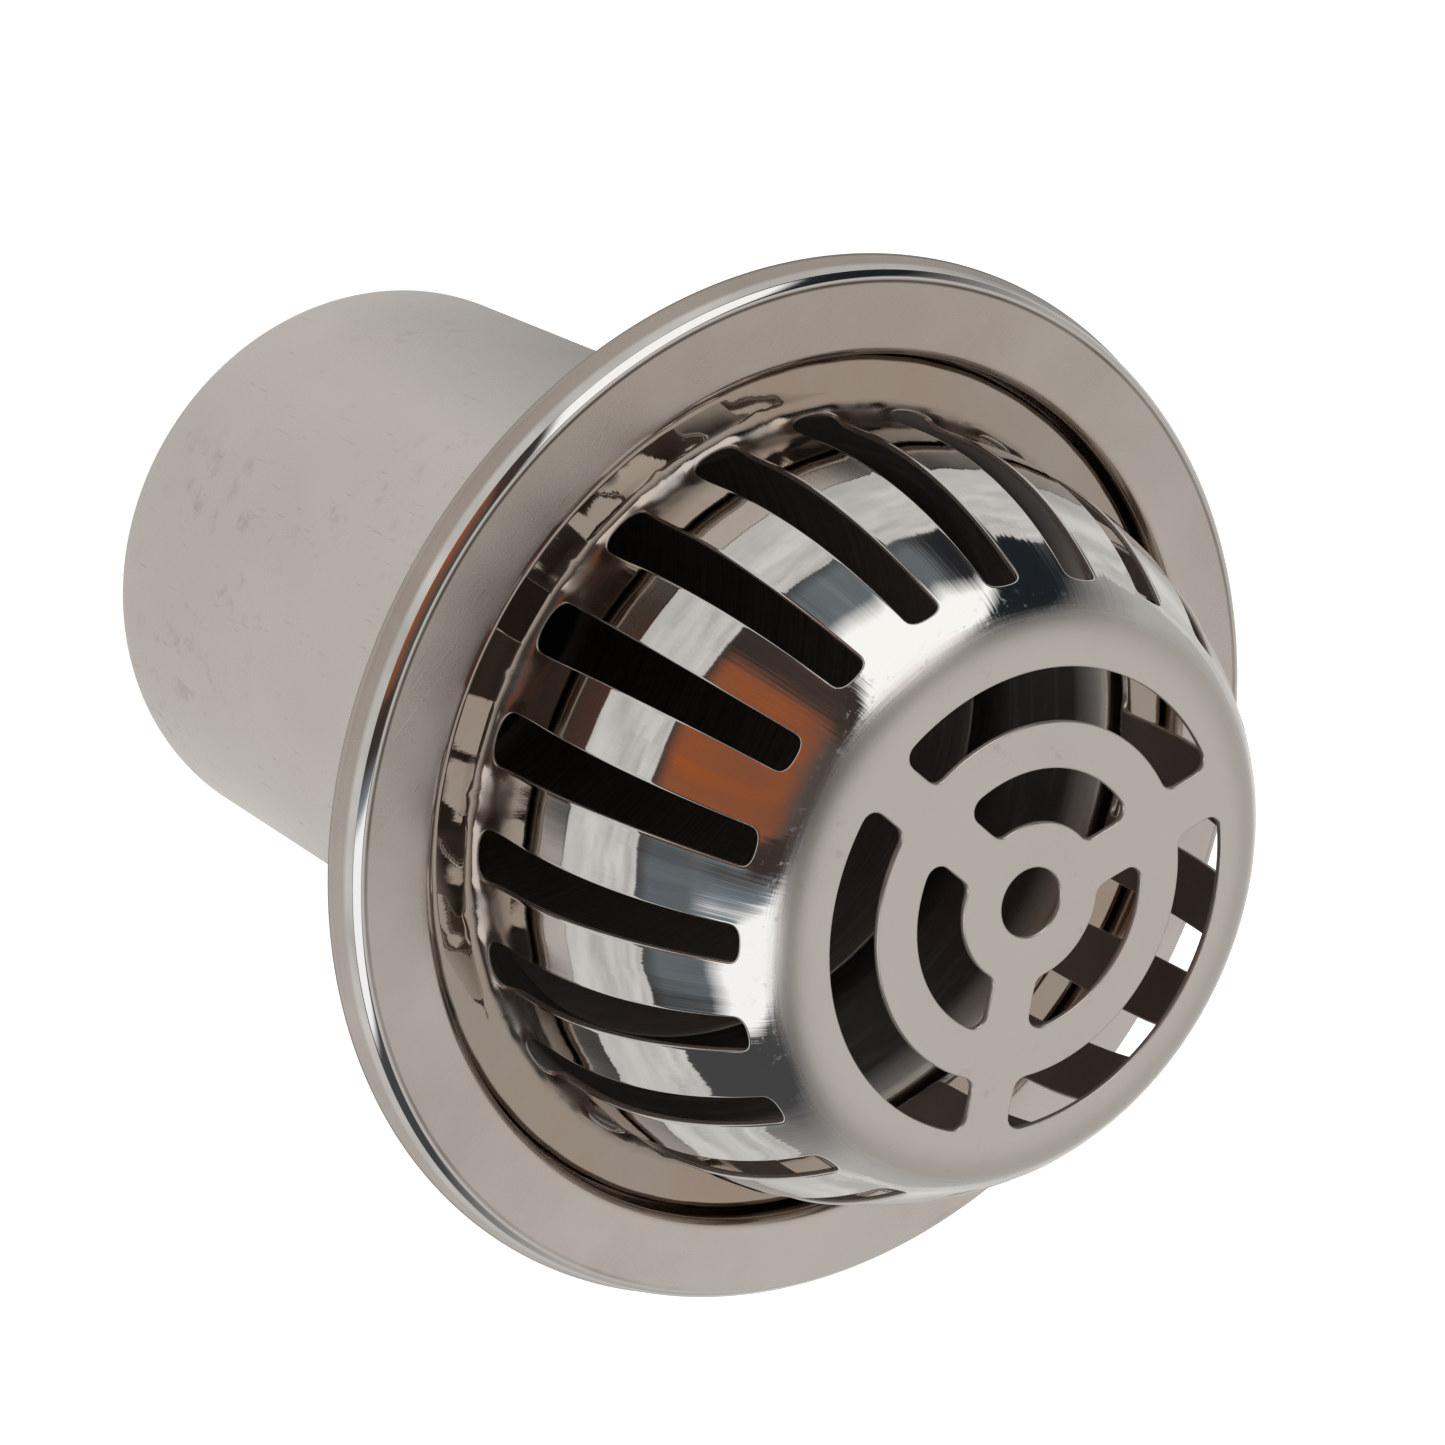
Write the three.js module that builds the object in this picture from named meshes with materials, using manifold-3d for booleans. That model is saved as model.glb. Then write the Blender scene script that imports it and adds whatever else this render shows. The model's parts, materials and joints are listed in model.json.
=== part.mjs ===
// Stainless roof or balcony drain: a drawn flange body, an outlet pipe welded under it, and a domed leaf
// strainer that sits loose in the recess of the flange. Millimetres, +Z up, origin at the centre of the
// pipe's open end.
import * as THREE from "three";
import { mergeVertices } from "three/addons/utils/BufferGeometryUtils.js";
import Module from "manifold-3d";

// Clearances
const SEAT_GAP = 0.3; // between faces that rest on or butt against each other
const SKIRT_CLEARANCE = 0.5; // radial, between the strainer's skirt and the recess wall

// Outlet pipe
const OUTLET_OD = 100;
const PIPE_WALL = 1.2;
const END_ROLL = 1.2; // how far the open end is rolled in, on the radius
const END_ROLL_HEIGHT = 4;

// Flange body, one drawn sheet
const FACE_HEIGHT = 145; // flat face of the flange above the pipe's open end
const BODY_SHEET = 1.2;
const LIP_TOP_OD = 164;
const LIP_DEPTH = 5.9;
const LIP_FLARE = 1.4; // the lip's foot stands this much further out than its top
const RIM_WIDTH = 13; // from the top of the lip in to the recess wall
const EDGE_BEND = 0.3; // inside radius of the bends at both edges of the flat face
const RECESS_CORNER_RADIUS = 0.6;
const THROAT_EDGE_RADIUS = 2.5;
const JOINT_DEPTH = 28.5; // welded joint of bowl and pipe, below the flange face
const COLLAR_HEIGHT = 3; // straight collar of the bowl above that joint
const COLLAR_BEND_RADIUS = 9;

// Strainer, one pressed sheet
const STRAINER_SHEET = 1;
const SKIRT_WIDTH = 9.5; // from the skirt's outer edge in to the widest part of the barrel
const SKIRT_DROP = 3.3; // top of the skirt below the flange face
const SKIRT_RIM_DEPTH = 3.4; // turned-down edge that stands on the seat
const SKIRT_BEND = 0.5; // inside radius where the skirt turns down
const BARREL_FOOT = 4.9; // height above the flange face where the barrel starts to curve in
const BARREL_RADIUS = 71.3; // of the barrel's side, seen in section
const SKIRT_FILLET = 3.3;
const SHOULDER_RADIUS = 12.3;
const DOME_HEIGHT = 51; // top plate above the flange face

// Slots in the dome's side
const SLOT_COUNT = 21;
const SLOT_FOOT_SET = 0.7; // the slots' lower ends above the skirt
const SLOT_TOP_SET = 5.8; // their upper ends below the top plate
const SLOT_FOOT_WIDTH = 8.4;
const SLOT_TOP_WIDTH = 5.6;
const SLOT_END_ROUNDING = 1.8;
const SLOT_PHASE = 1 / 3; // from the first spoke to the nearest slot, as a share of the slots' pitch

// Openings in the top plate
const CENTRE_HOLE = 10.5;
const SPOKE_COUNT = 3;
const SPOKE_WIDTH = 7.8;
const SPOKE_PHASE = -90; // degrees from +X to the first spoke
const WINDOW_CORNER = 2.2;
const WINDOW_WIDTH = 8; // both rings of windows
const WINDOW_RING_SPACING = 15; // between the two rings of windows
const WINDOW_MARGIN = 1; // flat metal left outside the outer ring

// Weld bead round the joint
const BEAD_HALF_HEIGHT = 1.6;
const BEAD_PROUD = 0.8;

const ROUND_STEPS = 48;
const DOME_STEPS = 63;

const wasm = await Module();
wasm.setup();

const radians = THREE.MathUtils.degToRad;

// Points on a round stretch of a section, centre (r, z), from one angle to another in degrees.
function arc(r, z, radius, from, to, steps) {
  return Array.from({ length: steps + 1 }, (_, i) => {
    const a = radians(from + ((to - from) * i) / steps);
    return new THREE.Vector2(r + radius * Math.cos(a), z + radius * Math.sin(a));
  });
}

// Closed section of a sheet: its line, then the same line set back by the thickness to the right of travel.
// The sheet's ends are cut level, or upright where the sheet lies flat.
function sheetSection(line, thickness) {
  const last = line.length - 1;
  const back = line.map((p, i) => {
    const into = p.clone().sub(line[Math.max(i - 1, 0)]).normalize();
    const out = line[Math.min(i + 1, last)].clone().sub(p).normalize();
    const along = into.add(out).normalize();
    const normal = new THREE.Vector2(along.y, -along.x);
    if (i > 0 && i < last) return p.clone().addScaledVector(normal, thickness);
    if (Math.abs(normal.x) > Math.abs(normal.y)) return new THREE.Vector2(p.x + thickness / normal.x, p.y);
    return new THREE.Vector2(p.x, p.y + thickness / normal.y);
  });
  return [...line, ...back.reverse()];
}

// Turns a closed section round the Z axis.
function revolve(section, steps) {
  const geometry = new THREE.LatheGeometry([...section, section[0]], steps);
  return geometry.rotateX(Math.PI / 2);
}

function solidOf(geometry) {
  const bare = new THREE.BufferGeometry().setAttribute("position", geometry.getAttribute("position"));
  if (geometry.index) bare.setIndex(geometry.index);
  const merged = mergeVertices(bare, 1e-4);
  return new wasm.Manifold(
    new wasm.Mesh({
      numProp: 3,
      vertProperties: merged.attributes.position.array,
      triVerts: new Uint32Array(merged.index.array),
    }),
  );
}

function geometryOf(solid) {
  const { vertProperties, triVerts } = solid.getMesh();
  return new THREE.BufferGeometry()
    .setAttribute("position", new THREE.BufferAttribute(vertProperties, 3))
    .setIndex(new THREE.BufferAttribute(triVerts, 1));
}

const outletRadius = OUTLET_OD / 2;
const pipeTop = FACE_HEIGHT - JOINT_DEPTH - SEAT_GAP / 2;
const skirtTop = FACE_HEIGHT - SKIRT_DROP;
const domeTop = FACE_HEIGHT + DOME_HEIGHT;
const seatHeight = skirtTop - SKIRT_RIM_DEPTH - SEAT_GAP;
const recessRadius = LIP_TOP_OD / 2 - RIM_WIDTH;
const skirtRadius = recessRadius - SKIRT_CLEARANCE;
const barrelRadius = skirtRadius - SKIRT_WIDTH;

// Straight tube whose open end is rolled in.
function outletPipe() {
  const rollRadius = (END_ROLL ** 2 + END_ROLL_HEIGHT ** 2) / (2 * END_ROLL);
  const rollAngle = THREE.MathUtils.radToDeg(Math.asin(END_ROLL_HEIGHT / rollRadius));
  const roll = arc(outletRadius - rollRadius, END_ROLL_HEIGHT, rollRadius, 0, -rollAngle, 3);
  const line = [new THREE.Vector2(outletRadius, pipeTop), ...roll];
  return revolve(sheetSection(line, PIPE_WALL).reverse(), ROUND_STEPS);
}

// Lip, rounded edge, flat face, recess, seat and funnel, down to the collar that the pipe is welded to.
function flangeBody() {
  const lipFoot = new THREE.Vector2(LIP_TOP_OD / 2 + LIP_FLARE, FACE_HEIGHT - LIP_DEPTH);
  const edgeRadius = BODY_SHEET + EDGE_BEND;
  const edgeHeight = FACE_HEIGHT - edgeRadius;
  const lipLean = THREE.MathUtils.radToDeg(Math.atan2(LIP_FLARE, LIP_DEPTH - edgeRadius));
  const edge = arc(LIP_TOP_OD / 2 - edgeRadius, edgeHeight, edgeRadius, lipLean, 90, 3);
  const recessEdge = arc(recessRadius + edgeRadius, edgeHeight, edgeRadius, 90, 180, 2);
  const recessCorner = arc(
    recessRadius - RECESS_CORNER_RADIUS, seatHeight + RECESS_CORNER_RADIUS, RECESS_CORNER_RADIUS, 0, -90, 2,
  );
  // The funnel is the straight line that touches the throat's edge and the bend above the collar.
  const collarRadius = outletRadius - BODY_SHEET;
  const top = new THREE.Vector2(barrelRadius + THROAT_EDGE_RADIUS, seatHeight - THROAT_EDGE_RADIUS);
  const bendHeight = FACE_HEIGHT - JOINT_DEPTH + COLLAR_HEIGHT;
  const bottom = new THREE.Vector2(collarRadius + COLLAR_BEND_RADIUS, bendHeight);
  const between = top.clone().sub(bottom);
  const slant = Math.atan2(between.x, between.y);
  const lean = THREE.MathUtils.radToDeg(
    slant + Math.asin((COLLAR_BEND_RADIUS - THROAT_EDGE_RADIUS) / between.length()),
  );
  const throatEdge = arc(top.x, top.y, THROAT_EDGE_RADIUS, 90, 180 - lean, 3);
  const collarBend = arc(bottom.x, bottom.y, COLLAR_BEND_RADIUS, 180 - lean, 180, 2);
  const collarFoot = new THREE.Vector2(collarRadius, FACE_HEIGHT - JOINT_DEPTH + SEAT_GAP / 2);
  const line = [lipFoot, ...edge, ...recessEdge, ...recessCorner, ...throatEdge, ...collarBend, collarFoot];
  return revolve(sheetSection(line, -BODY_SHEET), ROUND_STEPS);
}

// Low round bead over the butt joint of the bowl's collar and the pipe.
function weldBead() {
  const section = arc(0, 0, 1, -90, 90, 4).map(
    (p) =>
      new THREE.Vector2(
        outletRadius + SEAT_GAP + BEAD_PROUD * p.x,
        FACE_HEIGHT - JOINT_DEPTH + BEAD_HALF_HEIGHT * p.y,
      ),
  );
  return revolve(section, ROUND_STEPS);
}

// Centre of the shoulder's round, and how far the barrel's side swings in below it, in degrees.
function shoulder() {
  const rise = domeTop - SHOULDER_RADIUS - FACE_HEIGHT - BARREL_FOOT;
  const swing = Math.asin(rise / (BARREL_RADIUS - SHOULDER_RADIUS));
  const r = barrelRadius - BARREL_RADIUS + (BARREL_RADIUS - SHOULDER_RADIUS) * Math.cos(swing);
  return { r, z: domeTop - SHOULDER_RADIUS, swing: THREE.MathUtils.radToDeg(swing) };
}

// Outer line of the strainer: turned-down edge, skirt, fillet, barrel, shoulder and flat top.
function strainerLine() {
  const turn = STRAINER_SHEET + SKIRT_BEND;
  const { r, z, swing } = shoulder();
  return [
    new THREE.Vector2(skirtRadius, skirtTop - SKIRT_RIM_DEPTH),
    ...arc(skirtRadius - turn, skirtTop - turn, turn, 0, 90, 3),
    ...arc(barrelRadius + SKIRT_FILLET, skirtTop + SKIRT_FILLET, SKIRT_FILLET, 270, 180, 2),
    ...arc(barrelRadius - BARREL_RADIUS, FACE_HEIGHT + BARREL_FOOT, BARREL_RADIUS, 0, swing, 4),
    ...arc(r, z, SHOULDER_RADIUS, swing, 90, 3).slice(1),
  ];
}

// The dome is hollow and open below; its sheet runs to the axis only in the top plate.
function strainerShell() {
  const line = strainerLine();
  const section = sheetSection(line, -STRAINER_SHEET);
  const axisTop = new THREE.Vector2(0, domeTop);
  const axisUnder = new THREE.Vector2(0, domeTop - STRAINER_SHEET);
  const outer = section.slice(0, line.length);
  const inner = section.slice(line.length);
  const profile = [axisUnder, ...inner, ...outer, axisTop];
  return new THREE.LatheGeometry(profile, DOME_STEPS).rotateX(Math.PI / 2);
}

// One slot, cut straight outwards: tapered sides and rounded ends, standing at azimuth 0.
function slotCutter() {
  const foot = SLOT_FOOT_WIDTH / 2;
  const top = SLOT_TOP_WIDTH / 2;
  const low = skirtTop + SLOT_FOOT_SET + SLOT_END_ROUNDING;
  const high = domeTop - SLOT_TOP_SET - SLOT_END_ROUNDING;
  const shape = new THREE.Shape();
  shape.moveTo(-foot, low);
  shape.absellipse(0, low, foot, SLOT_END_ROUNDING, Math.PI, 2 * Math.PI, false);
  shape.lineTo(top, high);
  shape.absellipse(0, high, top, SLOT_END_ROUNDING, 0, Math.PI, false);
  const cutter = new THREE.ExtrudeGeometry(shape, {
    depth: skirtRadius,
    bevelEnabled: false,
    curveSegments: 3,
  });
  // The outline's x turns tangential, its y turns upwards, and the depth points outwards from the axis.
  const turn = new THREE.Matrix4().makeBasis(
    new THREE.Vector3(0, 1, 0), new THREE.Vector3(0, 0, 1), new THREE.Vector3(1, 0, 0),
  );
  return cutter.applyMatrix4(turn);
}

// One window between two spokes of the top plate: straight ends along the spokes, rounded corners.
function windowCutter(outer) {
  const inner = outer - WINDOW_WIDTH;
  const half = SPOKE_WIDTH / 2;
  const set = half + WINDOW_CORNER;
  const span = (2 * Math.PI) / SPOKE_COUNT;
  const cornerAt = (radius) => ({ reach: Math.sqrt(radius ** 2 - set ** 2), angle: Math.asin(set / radius) });
  const far = cornerAt(outer - WINDOW_CORNER);
  const near = cornerAt(inner + WINDOW_CORNER);
  const mirrored = (reach) => [
    reach * Math.cos(span) + set * Math.sin(span),
    reach * Math.sin(span) - set * Math.cos(span),
  ];
  const shape = new THREE.Shape();
  shape.moveTo(near.reach, half);
  shape.absarc(far.reach, set, WINDOW_CORNER, -Math.PI / 2, far.angle, false);
  shape.absarc(0, 0, outer, far.angle, span - far.angle, false);
  shape.absarc(...mirrored(far.reach), WINDOW_CORNER, span - far.angle, span + Math.PI / 2, false);
  shape.absarc(
    ...mirrored(near.reach), WINDOW_CORNER, span + Math.PI / 2, span - near.angle + Math.PI, false,
  );
  shape.absarc(0, 0, inner, span - near.angle, near.angle, true);
  shape.absarc(near.reach, set, WINDOW_CORNER, near.angle + Math.PI, 1.5 * Math.PI, false);
  const depth = 3 * STRAINER_SHEET;
  const cutter = new THREE.ExtrudeGeometry(shape, { depth, bevelEnabled: false, curveSegments: 4 });
  return cutter.translate(0, 0, domeTop - 2 * STRAINER_SHEET);
}

function centreHoleCutter() {
  const cutter = new THREE.CylinderGeometry(CENTRE_HOLE / 2, CENTRE_HOLE / 2, 3 * STRAINER_SHEET, 24);
  return cutter.rotateX(Math.PI / 2).translate(0, 0, domeTop - STRAINER_SHEET / 2);
}

function strainerDome() {
  let dome = solidOf(strainerShell());
  const slot = solidOf(slotCutter());
  for (let i = 0; i < SLOT_COUNT; i++) {
    dome = dome.subtract(slot.rotate([0, 0, SPOKE_PHASE + (360 * (i + SLOT_PHASE)) / SLOT_COUNT]));
  }
  const outerRing = shoulder().r - WINDOW_MARGIN;
  for (const radius of [outerRing, outerRing - WINDOW_RING_SPACING]) {
    const cutter = solidOf(windowCutter(radius));
    for (let i = 0; i < SPOKE_COUNT; i++) {
      dome = dome.subtract(cutter.rotate([0, 0, SPOKE_PHASE + (360 * i) / SPOKE_COUNT]));
    }
  }
  return geometryOf(dome.subtract(solidOf(centreHoleCutter())));
}

const satinSteel = { color: 0xb0aba6, roughness: 0.38, metalness: 1 };
const polishedSteel = { color: 0xc4c4c6, roughness: 0.08, metalness: 1 };
const weldSteel = { color: 0x9a958f, roughness: 0.5, metalness: 1 };

function mesh(name, geometry, look) {
  const piece = new THREE.Mesh(geometry, new THREE.MeshStandardMaterial(look));
  piece.name = name;
  return piece;
}

const drainBody = new THREE.Group();
drainBody.add(
  mesh("flange_body", flangeBody(), satinSteel),
  mesh("outlet_pipe", outletPipe(), satinSteel),
  mesh("weld_bead", weldBead(), weldSteel),
);

const drain = new THREE.Group();
drain.add(drainBody, mesh("strainer_dome", strainerDome(), polishedSteel));

export default drain;
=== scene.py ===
"""Stainless steel roof and balcony drain with a lift-out dome strainer, as a small Blender add-on.

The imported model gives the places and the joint. This file makes the fine sheet-metal surfaces, their
finishes, a floor, the studio that the metal mirrors, and a camera. All sizes are in metres, and heights are
measured from the pipe's open end.
"""

import json
import math

import bpy
import numpy as np
from bpy.props import FloatProperty, FloatVectorProperty, IntProperty, PointerProperty
from mathutils import Matrix, Vector


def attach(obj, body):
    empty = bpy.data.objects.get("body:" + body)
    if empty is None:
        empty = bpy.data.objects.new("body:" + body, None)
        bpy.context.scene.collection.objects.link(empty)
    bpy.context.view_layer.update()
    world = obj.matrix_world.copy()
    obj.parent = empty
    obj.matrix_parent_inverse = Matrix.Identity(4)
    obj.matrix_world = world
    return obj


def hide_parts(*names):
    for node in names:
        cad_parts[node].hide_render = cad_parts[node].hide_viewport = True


bl_info = {
    "name": "Dome strainer roof drain",
    "version": (1, 0, 0),
    "blender": (4, 5, 0),
    "location": "View3D > Sidebar > Drain",
    "description": "Builds a stainless roof drain: flange body, welded outlet pipe and dome strainer",
    "category": "Object",
}

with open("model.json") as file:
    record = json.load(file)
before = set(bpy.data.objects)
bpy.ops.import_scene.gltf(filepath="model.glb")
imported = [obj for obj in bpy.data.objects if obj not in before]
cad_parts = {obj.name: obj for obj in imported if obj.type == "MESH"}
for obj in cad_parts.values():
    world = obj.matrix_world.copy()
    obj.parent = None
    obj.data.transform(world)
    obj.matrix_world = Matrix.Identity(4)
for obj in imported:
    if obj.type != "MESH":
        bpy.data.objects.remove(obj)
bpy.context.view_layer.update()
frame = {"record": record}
MM = 0.001
FACE = next(mount["pos_m"][2] for mount in frame["record"]["mounts"] if mount["name"] == "flange_face")


# ---------------------------------------------------------------- sizes and colours


def length(name, description, default):
    return FloatProperty(name=name, description=description, default=default, unit="LENGTH", precision=5)


def colour(name, description, default):
    return FloatVectorProperty(
        name=name, description=description, default=default, subtype="COLOR", min=0.0, max=1.0
    )


class DrainBodySizes(bpy.types.PropertyGroup):
    """Sizes of the flange body, the outlet pipe and the weld between them"""

    sheet: length("Body sheet", "Thickness of the drawn body", 1.2 * MM)
    lip_radius: length("Lip radius", "Radius at the top of the lip", 82.0 * MM)
    lip_depth: length("Lip depth", "Height of the lip", 5.9 * MM)
    lip_flare: length("Lip flare", "How far the foot of the lip stands out", 1.4 * MM)
    lip_round: length("Lip foot rounding", "Rounding of the flange's cut edges", 0.25 * MM)
    rim_width: length("Rim width", "From the top of the lip to the recess wall", 13.0 * MM)
    edge_bend: length("Edge bend", "Inside radius of the bends beside the flat face", 0.3 * MM)
    recess_depth: length("Recess depth", "Depth of the seat below the face", 7.0 * MM)
    recess_corner: length("Recess corner", "Radius between the recess wall and the seat", 0.6 * MM)
    throat_edge: length("Throat edge", "Radius where the seat turns into the bowl", 2.5 * MM)
    bowl_bend: length("Bowl bend", "Radius where the bowl turns into the collar", 9.0 * MM)
    collar: length("Collar", "Height of the straight collar above the welded joint", 3.0 * MM)
    joint_depth: length("Joint depth", "Depth of the welded joint below the face", 28.5 * MM)
    joint_gap: length("Joint gap", "Gap between the collar and the pipe, under the weld", 0.3 * MM)
    outlet_radius: length("Outlet radius", "Outside radius of the pipe", 50.0 * MM)
    end_roll: length("End roll", "How far the pipe's end is rolled in", 1.2 * MM)
    end_roll_height: length("End roll height", "Height of the rolled-in stretch", 4.0 * MM)
    pipe_round: length("Pipe end rounding", "Rounding of the pipe's cut edges", 0.3 * MM)
    bead_half_height: length("Weld half height", "From the middle of the weld bead to its edge", 1.45 * MM)
    bead_rise: length("Weld rise", "How far the weld bead stands out", 0.62 * MM)
    bead_pitch: length("Weld ripple pitch", "Distance between the ripples of the weld", 1.5 * MM)
    bead_ripple: length("Weld ripple height", "Height of the ripples of the weld", 0.14 * MM)


class StrainerSizes(bpy.types.PropertyGroup):
    """Sizes of the dome strainer"""

    sheet: length("Strainer sheet", "Thickness of the strainer", 1.0 * MM)
    skirt_width: length("Skirt width", "From the skirt's edge in to the barrel", 9.5 * MM)
    clearance: length("Skirt clearance", "Radial gap to the recess wall", 0.5 * MM)
    skirt_drop: length("Skirt drop", "Top of the skirt below the face", 3.3 * MM)
    rim_depth: length("Skirt rim", "Height of the turned-down rim", 3.4 * MM)
    rim_bend: length("Rim bend", "Inside radius between the skirt and its rim", 0.5 * MM)
    fillet: length("Fillet", "Radius between skirt and barrel", 3.3 * MM)
    foot: length("Barrel foot", "Height above the face where the barrel starts to curve in", 4.9 * MM)
    barrel_curve: length("Barrel curve", "Radius of the barrel's side in section", 71.3 * MM)
    shoulder: length("Shoulder", "Radius of the shoulder in section", 12.3 * MM)
    height: length("Dome height", "Top plate above the face", 51.0 * MM)
    slots: IntProperty(name="Slots", description="Slots round the barrel", default=21, min=3)
    slot_foot_width: length("Slot foot", "Width at the lower end", 8.4 * MM)
    slot_top_width: length("Slot top", "Width at the upper end", 5.6 * MM)
    slot_foot_set: length("Slot foot height", "Lower end above the skirt", 0.7 * MM)
    slot_top_set: length("Slot top set", "Upper end below the top plate", 5.8 * MM)
    slot_end: length("Slot end", "Length of the rounded stretch at either end of a slot", 1.8 * MM)
    spokes: IntProperty(name="Spokes", description="Spokes of the top plate", default=3, min=2)
    spoke_width: length("Spoke width", "Width of a spoke", 7.8 * MM)
    window_width: length("Window width", "Radial width of both rings of windows", 8.0 * MM)
    window_spacing: length("Window spacing", "Distance between the two rings", 15.0 * MM)
    window_margin: length("Window margin", "From the flat plate's edge in to the outer windows", 1.0 * MM)
    window_corner: length("Window corner", "Corner radius", 2.2 * MM)
    hole: length("Centre hole", "Radius of the hole in the middle", 5.25 * MM)
    edge_round: length("Cut edge", "Rounding of the punched edges", 0.3 * MM)
    foot_round: length("Rim foot", "Rounding of the edge that the strainer stands on", 0.35 * MM)
    burr: length("Burr", "How far the metal is pulled up beside the slots' feet", 0.25 * MM)
    lump: length("Lump", "Height of the lump at each lower corner of a slot", 0.45 * MM)


class DrainColours(bpy.types.PropertyGroup):
    """Colours of the metal's finishes, of the painted shade and reflection on it, and of the floor"""

    satin: colour("Satin steel", "Flange and top plate", (0.56, 0.53, 0.50))
    edge: colour("Polished edge", "Band round the flange's lip", (0.60, 0.59, 0.58))
    # painted shade: this brown darkens one side of the flange
    shaded_side: colour("Handled steel", "Side of the flange that has been held", (0.36, 0.315, 0.28))
    # painted reflection: a dark line just inside the polished band, drawn on the shaded side only
    dark_reflection_line: colour("Edge line", "Dark line inside the polished band", (0.10, 0.085, 0.075))
    # painted shade: the bowl's colour goes from satin to this near-black deeper down
    bowl: colour("Bowl", "Unpolished bowl under the strainer", (0.05, 0.042, 0.038))
    polish: colour("Polished steel", "Sides of the dome", (0.62, 0.615, 0.605))
    # painted shade: the fillet and the skirt at the dome's foot get darker colours than the polished sides
    fillet: colour("Fillet", "Satin band at the foot of the dome", (0.36, 0.35, 0.345))
    skirt: colour("Skirt", "The strainer's skirt", (0.36, 0.325, 0.29))
    speck: colour("Specks", "Dirt on the top plate", (0.34, 0.30, 0.27))
    pipe: colour("Pipe steel", "Outlet pipe", (0.60, 0.575, 0.55))
    worn: colour("Worn pipe", "Smudges and scratches of the pipe", (0.33, 0.29, 0.255))
    pipe_end: colour("Pipe end", "Rolled end of the pipe", (0.42, 0.40, 0.39))
    # painted shade: both inside colours are darker than the pipe's outside; the rings between them are drawn
    # marks
    inside_dark: colour("Inside, dark", "Darker rings inside the pipe", (0.24, 0.20, 0.18))
    inside_light: colour("Inside, light", "Lighter rings inside the pipe", (0.38, 0.33, 0.29))
    # real heat colour beside the weld; elsewhere painted shade in the flange's recess and the dome's inside,
    # and painted reflection low on the dome's barrel
    stain_and_shade: colour("Heat stain", "Brown tint beside the weld and in corners", (0.36, 0.25, 0.17))
    floor: colour("Floor", "Studio floor", (0.9, 0.89, 0.87))


# ---------------------------------------------------------------- sections


def arc(r, z, radius, start, stop, steps):
    """Points (r + radius cos a, z + radius sin a) for a running evenly from start to stop degrees."""
    a = np.radians(np.linspace(start, stop, steps))
    return np.stack([r + radius * np.cos(a), z + radius * np.sin(a)], 1)


def evened(line, step):
    """The same polyline with extra points, so that no straight stretch is longer than step."""
    pieces = []
    for a, b in zip(line[:-1], line[1:]):
        count = max(1, math.ceil(np.linalg.norm(b - a) / step))
        pieces.append(a + (b - a) * (np.arange(count) / count)[:, None])
    return np.concatenate([*pieces, line[-1:]])


def normals_of(line):
    """Unit normals to the left of travel: the tangent by central differences, turned a quarter turn."""
    along = np.gradient(line, axis=0)
    along /= np.linalg.norm(along, axis=1)[:, None]
    return np.stack([-along[:, 1], along[:, 0]], 1)


def rolled_sheet(line, thickness, rounding):
    """Closed section (r, z, side) of a sheet that lies to the left of a line: the line with side 0, a
    half-round end, the line set back by the thickness with side 1, and the other half-round end. Ends are
    level: with a from 0 to 180 degrees, first + (second - first) (1 - cos a) / 2, pulled in by
    rounding (1 - sin a)."""
    normal = normals_of(line)
    for row in (0, -1):
        normal[row] = [1 / normal[row, 0], 0.0]
    back = line + normal * thickness
    a = np.linspace(0, math.pi, 7)[1:-1, None]
    share = (1 - np.cos(a)) / 2

    def end(first, second, inwards, side):
        points = first + (second - first) * share
        points[:, 1:] += inwards * rounding * (1 - np.sin(a))
        return np.hstack([points, side])

    at_start, at_stop = np.sign(line[1, 1] - line[0, 1]), np.sign(line[-2, 1] - line[-1, 1])
    for face in (line, back):
        face[0, 1] += at_start * rounding
        face[-1, 1] += at_stop * rounding
    lowered, raised = [0, at_stop * rounding], [0, at_start * rounding]
    return np.concatenate([
        np.hstack([line, np.zeros((len(line), 1))]),
        end(line[-1] - lowered, back[-1] - lowered, at_stop, share),
        np.hstack([back[::-1], np.ones((len(line), 1))]),
        end(back[0] - raised, line[0] - raised, at_start, 1 - share),
    ])


# ---------------------------------------------------------------- meshes

SAME_PLACE = 2e-6  # points whose places round to the same multiples of this are one


def mesh_piece(name, points, faces, body, material, replaces):
    """One object from an array of points (x, y, z, side) and an array of quads, smooth, riding on a body.
    The side goes into the attribute of that name: 0 on one face of the sheet, 1 on the other."""
    mesh = bpy.data.meshes.new(name)
    points = points.reshape(-1, 4)
    mesh.from_pydata(points[:, :3].tolist(), [], faces.tolist())
    mesh.attributes.new("side", "FLOAT", "POINT").data.foreach_set("value", points[:, 3].astype(np.float32))
    mesh.shade_smooth()
    mesh.materials.append(material)
    piece = bpy.data.objects.new(name, mesh)
    bpy.context.scene.collection.objects.link(piece)
    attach(piece, body)
    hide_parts(replaces)


def grid_faces(rows, columns, close_rows=False, close_columns=False):
    """Quads of a grid of points numbered row by row: (i, j), (i, j+1), (i+1, j+1), (i+1, j)."""
    i, j = np.meshgrid(
        np.arange(rows if close_rows else rows - 1),
        np.arange(columns if close_columns else columns - 1),
        indexing="ij",
    )
    a, b = i % rows, (i + 1) % rows
    c, d = j % columns, (j + 1) % columns
    return np.stack([a * columns + c, a * columns + d, b * columns + d, b * columns + c], -1).reshape(-1, 4)


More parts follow.
